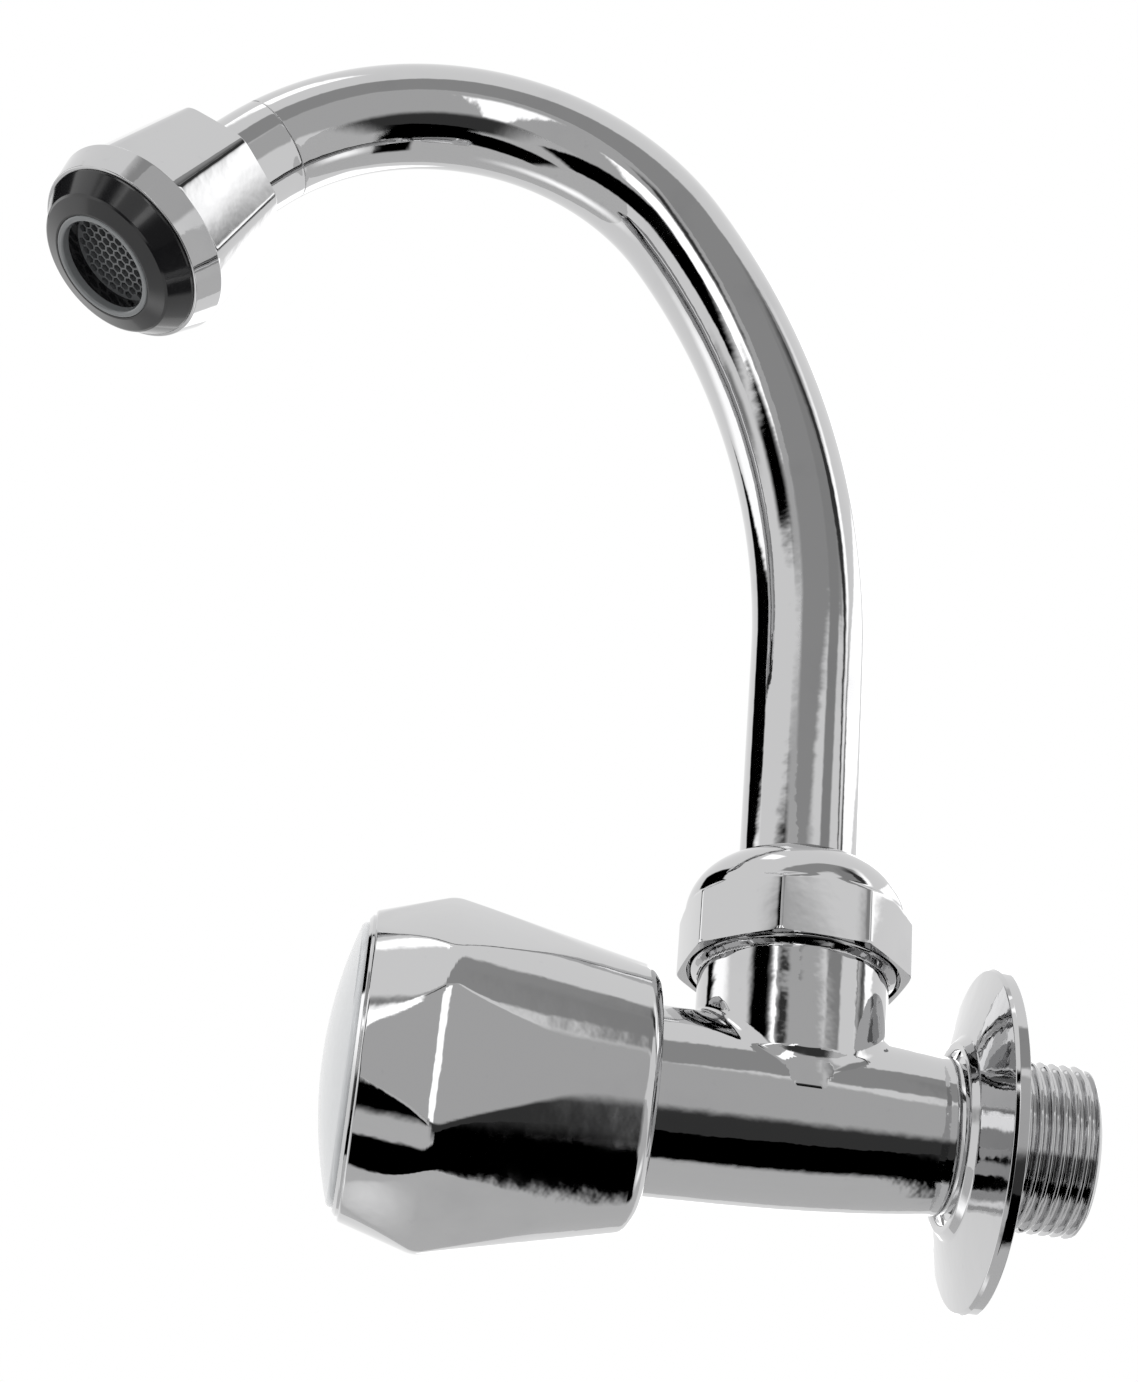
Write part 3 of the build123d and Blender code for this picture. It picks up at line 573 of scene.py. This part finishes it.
# %% Trim ring and cap
ring = rounded(
    [(19.6, 95.0), (22.75, 95.0), (22.75, 97.6, 0.2), (22.1, 98.1, 0.2)]
    + [(21.65, 98.1), (21.65, 96.6), (19.6, 96.6)]
)
surface("handle_trim_skin", off_wall(lathe(ring, 240)), "handle", handle_chrome, ["handle_trim_ring"])
CAP_EDGE, CAP_FOOT, CAP_TOP = 20.7, 99.2, 102.5
rise = CAP_TOP - CAP_FOOT
ball = (CAP_EDGE**2 + rise**2) / (2 * rise)
across = np.linspace(0, CAP_EDGE, 30)
face = np.stack([across, CAP_TOP - ball + np.sqrt(ball**2 - across**2)], 1)
edge = arc_through((CAP_EDGE, CAP_FOOT), (21.27, 98.92), (21.5, 98.3), 8)[1:]
behind = np.array(
    [(21.5, 97.0), (21.45, 96.7), (19.5, 96.65), (19.4, 96.5)]
    + [(19.4, 91.0), (18.6, 91.0), (18.6, 98.0), (0.0, 100.6)]
)
grid = off_wall(lathe(np.vstack([face, edge, behind]), 240))
surface("handle_cap_skin", grid, "handle", cap_plastic, ["handle_cap"], closed=False)

# %% [markdown]
# ## Wall flange
# The flange is a thin pressed dish with a rolled rim. It hides the hole in the tiles and hangs
# loose round the barrel, so a dark gap shows through its hole. Pressing leaves the face a
# little wavy, which its finish has as a stronger wave than the turned pieces.

# %% Wall flange
dish = rounded(
    [
        (26.5, 0.0, 0.15),
        (26.5, 1.6, 0.25),
        (26.15, 2.2, 0.3),
        (15.85, 4.7, 0.9),
        (14.65, 5.9, 0.5),
        (13.45, 5.9, 0.4),
        (13.45, 4.8, 0.2),
        (15.25, 3.6, 0.4),
        (24.85, 1.9, 0.3),
        (25.05, 0.0),
    ],
    steps=8,
)
surface("wall_flange_skin", off_wall(lathe(dense(dish, 0.8), 320)), "body", pressed_chrome, ["wall_flange"])

# %% [markdown]
# ## Cast body
# The body is one casting: a barrel that tapers towards the wall and a boss that stands on it,
# joined by a soft fillet. Two lathes would meet in a sharp line, and a bevel has no clean edge
# to follow there. A distance field does: each form gives its distance to any point in space,
# and a round union of the two leaves a fillet of a set radius. A coarse remesh gives the mesh,
# and each point then slides along the field's slope until it lies exactly on the surface.

# %% Cast body by a distance field
BARREL_FRONT, BARREL_BACK, BARREL_ROOT = 55.0, 4.7, 12.2
BOSS, BOSS_TOP, BEAD, BEAD_START = 15.0, 25.5, 16.3, 22.4
SPIGOT, SPIGOT_TOP, FILLET = 14.3, 31.0, 1.1
barrel_curve = np.polyfit(
    [BARREL_FRONT, 44.0, 35.0, 26.0, 16.5, 8.2], [14.7, 14.45, 14.35, 13.8, 13.1, BARREL_ROOT], 3
)


def rounded_greater(a, b, size):
    """Greater of two distances; where both are near zero the edge gets that radius."""
    return np.minimum(np.maximum(a, b), -size) + np.hypot(np.maximum(a + size, 0), np.maximum(b + size, 0))


def body_distance(points):
    """Barrel and boss joined as k - |(k - a, k - b)| where both are near, and the less of the
    two elsewhere. A hollow is cut as the greater of the form and the hollow's distance, negated."""
    x, y, z = points.T
    depth, from_axis, from_boss = -y, np.hypot(x, z), np.hypot(x, y - BOSS_Y)
    size = np.polyval(barrel_curve, np.clip(depth, 8.2, 56))
    waist = (from_axis - BARREL_ROOT) * 0.894 - (depth - 6.5) * 0.447
    ends = np.maximum(depth - BARREL_FRONT, BARREL_BACK - depth)
    barrel = np.maximum(rounded_greater(from_axis - size, waist, 0.4), ends)
    boss = np.maximum(from_boss - BOSS, (from_boss - 12.0 - z * 0.5) * 0.894)
    boss = np.maximum(boss, np.maximum(z - BOSS_TOP, -z))
    bevel = (from_boss - BOSS) * 0.569 - (z - BEAD_START) * 0.822
    bead = rounded_greater(from_boss - BEAD, bevel, 0.35)
    boss = np.minimum(boss, rounded_greater(bead, z - BOSS_TOP, 0.3))
    joined = np.maximum(FILLET, np.minimum(barrel, boss))
    joined -= np.hypot(np.maximum(FILLET - barrel, 0), np.maximum(FILLET - boss, 0))
    solid = np.minimum(joined, np.maximum(from_boss - SPIGOT, np.maximum(z - SPIGOT_TOP, -z)))
    hollows = [
        np.maximum(from_axis - 10.5, 24.0 - depth),
        np.maximum(from_axis - 11.45, 47.5 - depth),
        np.maximum(from_axis - 8.0, depth - 20.0),
        np.maximum(from_axis - 6.0, np.abs(depth - 22.0) - 3.0),
        np.maximum(from_boss - 11.0, 12.5 - z),
        np.maximum(from_boss - 6.5, np.abs(z - 8.0) - 6.0),
    ]
    return np.maximum(solid, -np.minimum.reduce(hollows))


def slope(points, step=0.01):
    """Direction in which the distance grows fastest, from small steps each way."""
    shifts = np.eye(3) * step
    return np.stack([body_distance(points + s) - body_distance(points - s) for s in shifts], 1) / (2 * step)


def settled(points, rounds=12):
    """Points moved along the slope by the distance that is left, several times over."""
    for _ in range(rounds):
        way = slope(points)
        size = np.maximum((way**2).sum(1), 0.3)
        points = points - 0.8 * way * (body_distance(points) / size)[:, None]
    return points


def blank_of(name, *pieces):
    """Rough object of closed lathes, each given as a path and the place that it goes to."""
    points, faces, first = [], [], 0
    for path, move in pieces:
        grid = move(lathe(np.array(path), 96))
        number = np.arange(grid.shape[0] * 96).reshape(-1, 96) + first
        low, high = number[:-1], number[1:]
        quads = np.stack([low, np.roll(low, -1, 1), np.roll(high, -1, 1), high], 2)
        points.append(grid.reshape(-1, 3))
        faces.append(quads.reshape(-1, 4))
        first += number.size
    mesh = bpy.data.meshes.new(name)
    mesh.from_pydata(np.vstack(points).tolist(), [], np.vstack(faces).tolist())
    piece = bpy.data.objects.new(name, mesh)
    bpy.context.scene.collection.objects.link(piece)
    return piece


outer = blank_of(
    "body_blank",
    (
        [(0, BARREL_BACK), (11.3, BARREL_BACK), (BARREL_ROOT, 6.5), (13.8, 26.0)]
        + [(14.7, BARREL_FRONT), (0, BARREL_FRONT)],
        off_wall,
    ),
    (
        [(0, 2), (13.0, 2), (BOSS, 6.0), (BOSS, BEAD_START), (BEAD, 23.3), (BEAD, BOSS_TOP)]
        + [(SPIGOT, BOSS_TOP), (SPIGOT, SPIGOT_TOP), (0, SPIGOT_TOP)],
        on_boss,
    ),
)
hollow = blank_of(
    "body_hollow",
    (
        [(0, 4.0), (8.0, 4.0), (8.0, 20.0), (6.0, 20.0), (6.0, 24.0)]
        + [(10.5, 24.0), (10.5, 57.0), (0, 57.0)],
        off_wall,
    ),
    ([(0, 4.0), (6.5, 4.0), (6.5, 12.5), (11.0, 12.5), (11.0, 32.0), (0, 32.0)], on_boss),
)
for piece in (outer, hollow):
    joined = piece.modifiers.new("joined", "REMESH")
    joined.mode, joined.voxel_size = "VOXEL", 0.4
cut = outer.modifiers.new("cut", "BOOLEAN")
cut.operation, cut.object, cut.solver = "DIFFERENCE", hollow, "EXACT"
even = outer.modifiers.new("even", "REMESH")
even.mode, even.voxel_size = "VOXEL", 0.4
body_mesh = bpy.data.meshes.new_from_object(outer.evaluated_get(bpy.context.evaluated_depsgraph_get()))
for piece in (outer, hollow):
    bpy.data.objects.remove(piece)
places = np.zeros(len(body_mesh.vertices) * 3, np.float32)
body_mesh.vertices.foreach_get("co", places)
places = settled(places.reshape(-1, 3).astype(float))
body_mesh.vertices.foreach_set("co", (places * MM).ravel())
body_mesh.update()
body_mesh.shade_smooth()
body_mesh.normals_split_custom_set_from_vertices(slope(places, 0.03).tolist())
body_piece = bpy.data.objects.new("tap_body_skin", body_mesh)
bpy.context.scene.collection.objects.link(body_piece)
body_mesh.materials.append(cast_chrome)
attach(body_piece, "body")
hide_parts("tap_body")
left_over = np.abs(body_distance(places))
print("cast body:", len(body_mesh.polygons), "faces")
print("left over in mm, most and mean:", left_over.max().round(3), left_over.mean().round(4))

# %% [markdown]
# ## Inlet thread
# The tail has a G 3/4 thread with rounded crests, cut with a die and then plated. The frame's
# solid has plain rings there, because it only has to hold the size. Here it is a true helix:
# the radius follows a rounded wave of height / pitch - angle / full turn, and the wave fades
# at both ends, where the die runs out. Inside is the bore.

# %% Inlet thread
PITCH, CREST, DEPTH = 1.8143, 13.18, 1.10


def thread_shape(radius, height, angle):
    """Crest radius less depth x rounded wave, held under the chamfer at the tail's end."""
    phase = 2 * np.pi * (height / PITCH + angle / (2 * np.pi))
    wave = np.clip(0.5 + 0.62 * np.cos(phase), 0, 1)
    wave = wave * wave * (3 - 2 * wave)
    fade = np.clip((height + 0.8) / 0.8, 0, 1) * np.clip((15.0 - height) / 0.7, 0, 1)
    cut = CREST - DEPTH * (1 - wave * fade)
    return np.where(radius > 12.9, cut, radius)


tail = np.vstack(
    [
        rounded(
            [(8.0, -4.9), (11.1, -4.9), (11.3, -4.7), (12.6, -4.7), (12.6, -2.5)]
            + [(11.9, -2.5), (11.9, -0.8), (12.5, -0.8)],
            small=0.08,
        )[:-6],
        np.stack([np.full(155, 13.2), np.linspace(-0.75, 14.95, 155)], 1),
        rounded([(13.2, 14.5), (11.9, 15.02, 0.1), (8.6, 15.02, 0.2), (8.0, 14.5, 0.1), (8.0, -4.9)])[6:-6],
        np.array([(8.0, 10.0), (8.0, 0.0)]),
    ]
)
surface("inlet_thread_skin", into_wall(lathe(tail, 240, thread_shape)), "body", turned_chrome, ["tap_body"])

# %% [markdown]
# ## Aerator shell
# The head's shell is turned first and then gets eight tapering flats. A cone just outside the
# flats leaves narrow bright strips on the corners. In front the flats run into a round collar,
# which steps up where each flat is deepest and then bevels in to the lip.


# %% Aerator shell
def shell_shape(radius, height, angle):
    """Flats at 14.4 mm at the back to 17.2 mm at the collar; in front of it there are none."""
    distance = 17.2 + (height - 12.2) * 2.8 / 20.2
    front = np.clip((height - 11.95) / 0.25, 0, 1)
    distance = distance + 8 * front * front
    return cut_by_flats(radius, angle, 8, math.radians(246.6 + 22.5), distance, 0.05, 0.06, 0.003)


outline = rounded(
    [
        (13.58, -8.0),
        (15.3, -8.0, 0.3),
        (18.2, 12.2, 0.25),
        (16.65, 17.1, 0.2),
        (15.2, 17.1),
        (15.2, 11.2),
        (5.5, 11.2),
        (5.5, 9.6),
        (11.95, 9.6),
        (11.95, 3.02),
        (13.58, 3.02),
    ]
)
grid = lathe(dense(outline, 0.42, outside=14.3), 432, shell_shape)
surface("aerator_shell_skin", on_head(grid), "head", turned_chrome, ["aerator_shell"])

# %% [markdown]
# ## Nozzle and ball joint
# In the shell's mouth sits a black plastic nozzle with two conical faces, a grey ring and,
# well back, a plastic honeycomb. At its other end a black ring holds the head on the ball.
# These are lathe pieces with small radii, because the bright line on a black edge is all that
# the eye gets of their shape.

# %% Nozzle and retainer
nozzle = rounded(
    [
        (12.5, 13.0),
        (15.15, 13.0),
        (15.15, 17.1),
        (16.2, 17.1, 0.15),
        (15.95, 17.55, 0.25),
        (13.5, 21.0, 0.25),
        (13.1, 21.25, 0.3),
        (10.35, 22.2, 0.2),
        (10.0, 22.2),
        (10.0, 20.6),
        (8.9, 20.6),
        (8.9, 18.0),
        (12.5, 18.0),
    ],
    small=0.08,
)
surface("nozzle_insert_skin", on_head(lathe(nozzle, 240)), "head", black_gloss, ["nozzle_insert"])
bead = rounded([(8.8, 20.6), (9.94, 20.6), (9.94, 22.35, 0.35), (8.8, 22.35, 0.45)], small=0.05)
surface("nozzle_ring_skin", on_head(lathe(bead, 200)), "head", grey_plastic, ["nozzle_ring"])
socket = arc_through((10.37, -5.2), (11.22, -2.93), (11.58, 0.0), 12)
around_it = rounded(
    [(11.58, -1), (11.58, 3.0), (13.5, 3.0), (13.5, -8.6, 0.3)]
    + [(12.8, -8.6, 0.1), (12.8, -5.2), (10.37, -5.2, 0.05)]
)
holder = np.vstack([socket, around_it[6:-6]])
surface("ball_retainer_skin", on_head(lathe(holder, 240)), "head", black_ring, ["ball_retainer"])

# %% [markdown]
# ## Pieces that stay as they are
# The valve, seals, ball stud and honeycomb keep the frame's own meshes, because they are
# already exact there and mostly hidden. Each still gets the finish of its real material.

# %% Finishes for the frame's nodes
finishes = {
    tube_chrome: ["ball_stud"],
    mesh_plastic: ["aerator_screen", "flow_mixer"],
    brass: ["valve_bonnet", "valve_plunger", "spout_collar", "seat_washer_screw", "valve_spindle"],
    rubber: ["bonnet_gasket", "seat_washer", "spindle_o_rings", "spout_o_rings"]
    + ["ball_seat_seal", "aerator_gasket"],
    white_plastic: ["spout_slip_washer", "ball_slip_ring", "handle_spline_insert"],
    steel: ["handle_screw", "spindle_snap_ring"],
}
for paint, names in finishes.items():
    for name in names:
        frame["nodes"][name].data.materials.clear()
        frame["nodes"][name].data.materials.append(paint)
print("frame nodes with a finish:", sum(len(v) for v in finishes.values()))

# %% [markdown]
# ## Studio
# Chrome shows its surroundings, so a chrome tap is photographed in a white tent with dark cards
# and bright lamps. The world here is the tent: plain white, at a level of 1 for the eye and for
# mirrors, and it gives nearly all of the soft light. The floor is pale and lies well below, so
# that it adds no shadow to a tap that hangs in the air.


# %% Floor, world and light
def plain(name, colour, rough=0.9):
    paint, start, feed = finish(name)
    feed("Base Color", start.noise(3, 2).mix(tuple(0.97 * c for c in colour), colour))
    feed("Roughness", start.noise(8, 2) * 0.05 + rough)
    return paint


floor_mesh = bpy.data.meshes.new("studio_floor")
floor_mesh.from_pydata([(-9, -9, -3.2), (9, -9, -3.2), (9, 9, -3.2), (-9, 9, -3.2)], [], [(0, 1, 2, 3)])
floor = bpy.data.objects.new("studio_floor", floor_mesh)
bpy.context.scene.collection.objects.link(floor)
floor_mesh.materials.append(plain("pale_floor", (0.86, 0.86, 0.86)))

world = bpy.data.worlds.new("white_tent")
bpy.context.scene.world = world
world.use_nodes = True
path = world.node_tree.nodes.new("ShaderNodeLightPath")
shown = Signal(world.node_tree, path.outputs["Is Camera Ray"])
mirrored = Signal(world.node_tree, path.outputs["Is Glossy Ray"])
through = Signal(world.node_tree, path.outputs["Is Transmission Ray"])
seen = (shown + mirrored + through).step(0.0, 1.0)
world.node_tree.links.new((seen * 0.2 + 0.8).socket, world.node_tree.nodes["Background"].inputs["Strength"])
world.node_tree.nodes["Background"].inputs["Color"].default_value = (1, 1, 1, 1)

softbox = bpy.data.lights.new("softbox", "AREA")
softbox.energy, softbox.size, softbox.shape = 1.6, 0.6, "SQUARE"
lamp = bpy.data.objects.new("softbox", softbox)
bpy.context.scene.collection.objects.link(lamp)
lamp.location = (0.5, -0.5, 0.8)
lamp.rotation_euler = (math.radians(38), 0, math.radians(45))
lamp.visible_glossy = False
print("world and floor ready")

# %% [markdown]
# ## Cards and lamps
# In the photograph the chrome is mid grey where it mirrors the tent, white where it mirrors a
# lamp, and black where it mirrors a dark card. The places of the bands were read as directions,
# and these were rounded to the cards below. A card faces the tap from a compass angle and a
# height angle, is so many degrees wide and tall, and leans. Level 0 is black, the tent is 1
# and the lamps are near 2. Only reflections see the cards, so they neither light nor shade the
# tap.


# %% Cards
TAP_MIDDLE = np.array([0, -0.07, 0.06])


def card(name, compass, height, wide, tall, level, soft, far, lean):
    """Plane whose middle lies at that compass and height angle, wide x tall in degrees, with
    half width = far x tan(wide / 2). It glows at its level, and soft is the share of its width
    and height over which it fades to clear at each edge."""
    a, e, t = math.radians(compass), math.radians(height), math.radians(lean)
    way = np.array([math.cos(e) * math.cos(a), math.cos(e) * math.sin(a), math.sin(e)])
    level_side = np.array([-math.sin(a), math.cos(a), 0.0])
    level_up = np.cross(way, level_side)
    up = level_up * math.cos(t) + level_side * math.sin(t)
    side = np.cross(up, way)
    middle = TAP_MIDDLE + way * far
    half_w, half_h = far * math.tan(math.radians(wide / 2)), far * math.tan(math.radians(tall / 2))
    signs = ((-1, -1), (1, -1), (1, 1), (-1, 1))
    corners = [middle + side * sx * half_w + up * sy * half_h for sx, sy in signs]
    mesh = bpy.data.meshes.new(name)
    mesh.from_pydata([c.tolist() for c in corners], [], [(0, 1, 2, 3)])
    layer = mesh.uv_layers.new(name="card")
    layer.data.foreach_set("uv", np.array([0, 0, 1, 0, 1, 1, 0, 1], np.float32))
    paint = bpy.data.materials.new(name)
    paint.use_nodes = True
    tree = paint.node_tree
    tree.nodes.clear()
    start = Signal(tree)
    place = start.node("ShaderNodeUVMap", {"uv_map": "card"})
    split = tree.nodes.new("ShaderNodeSeparateXYZ")
    tree.links.new(place.socket, split.inputs[0])
    u, v = Signal(tree, split.outputs[0]), Signal(tree, split.outputs[1])
    inside = u.step(0.0, soft) * (1 - u).step(0.0, soft) * v.step(0.0, soft) * (1 - v).step(0.0, soft)
    glow = start.node("ShaderNodeEmission", None, {"Color": (1, 1, 1, 1), "Strength": level})
    clear = start.node("ShaderNodeBsdfTransparent")
    both = start.node("ShaderNodeMixShader", None, {0: inside, 1: clear, 2: glow})
    end = tree.nodes.new("ShaderNodeOutputMaterial")
    tree.links.new(both.socket, end.inputs["Surface"])
    mesh.materials.append(paint)
    piece = bpy.data.objects.new(name, mesh)
    bpy.context.scene.collection.objects.link(piece)
    piece.visible_camera = piece.visible_diffuse = piece.visible_shadow = False
    piece.visible_transmission = False


# Name, compass, height, wide, tall, level, softness of the edge, lean; angles in degrees.
studio_cards = [
    ("black_below", -10, -78, 72, 30, 0.0, 0.1, -10),
    ("grey_opening", -3, -2, 87, 65, 0.6, 0.08, 10),
    ("grey_over_opening", 17, 43, 76, 31, 0.4, 0.1, -15),
    ("black_post", -50, -16, 28, 63, 0.0, 0.1, 0),
    ("black_table", 14, -43, 65, 45, 0.05, 0.25, -10),
    ("black_low_back", 106, -59, 48, 17, 0.0, 0.15, -20),
    ("black_low_right", 35, -62, 50, 39, 0.0, 0.2, 40),
    ("lamp_left", -31, 11, 26, 18, 2.1, 0.15, 60),
    ("lamp_middle", -5, -6, 9, 46, 1.9, 0.15, 5),
    ("lamp_far_left", -129, -35, 24, 78, 1.8, 0.5, 50),
    ("lamp_far_left_top", -108, 18, 36, 42, 1.75, 0.35, -35),
    ("lamp_right_low", 105, -38, 26, 32, 1.7, 0.5, -15),
    ("lamp_right", 105, 30, 45, 14, 1.8, 0.1, -15),
    ("lamp_back", 158, 19, 28, 54, 1.9, 0.1, -20),
    ("lamp_top", -61, 70, 16, 14, 2.0, 0.2, 5),
    ("black_left", -118, 35, 39, 25, 0.0, 0.1, -15),
    ("black_over_post", -48, 22, 34, 12, 0.0, 0.3, -5),
    ("dark_between_lamps", -20, 20, 16, 8, 0.05, 0.35, 5),
    ("strip_right", 69, 35, 14, 53, 0.05, 0.25, -35),
    ("lamp_strip_right", 76, 37, 11, 45, 2.1, 0.5, 5),
    ("grey_right", 43, 33, 22, 36, 0.35, 0.2, 15),
    ("grey_far_left", -82, 12, 26, 16, 0.3, 0.4, 0),
]
# Each card stands a little nearer than the one before it, so a later card covers an earlier one.
FARTHEST, NEARER = 3.0, 0.02
for number, (name, *setting) in enumerate(studio_cards):
    card(name, *setting[:6], far=FARTHEST - NEARER * number, lean=setting[6])
print("cards:", len(studio_cards))

# %% [markdown]
# ## Camera
# The picture was taken close to the tap, from in front, from the handle's side and well below
# it, looking up. Position, directions and lens were worked out from the outlines of the thread,
# flange, barrel, nut and tube, taken together. The three directions fill the camera's
# matrix, column by column. Blender takes a nested list by columns, hence the transpose.

# %% Camera
lens = bpy.data.cameras.new("camera")
lens.sensor_fit, lens.sensor_width = "HORIZONTAL", 36.0
FOCAL_IN_PIXELS, PICTURE_WIDTH = 2721.5, 1138
lens.lens = 36.0 * FOCAL_IN_PIXELS / PICTURE_WIDTH
lens.clip_start, lens.clip_end = 0.01, 20
camera = bpy.data.objects.new("camera", lens)
bpy.context.scene.collection.objects.link(camera)
right, up = (0.126917, 0.98853, 0.081855), (0.469652, -0.132573, 0.872841)
back, where = (0.873681, -0.072335, -0.481091), (0.390618, -0.102733, -0.146235)
matrix = np.eye(4)
matrix[:3, 0], matrix[:3, 1], matrix[:3, 2], matrix[:3, 3] = right, up, back, where
camera.matrix_world = matrix.T.tolist()
bpy.context.scene.camera = camera
bpy.context.scene.view_settings.view_transform = "Standard"
print("lens in mm:", round(lens.lens, 2))
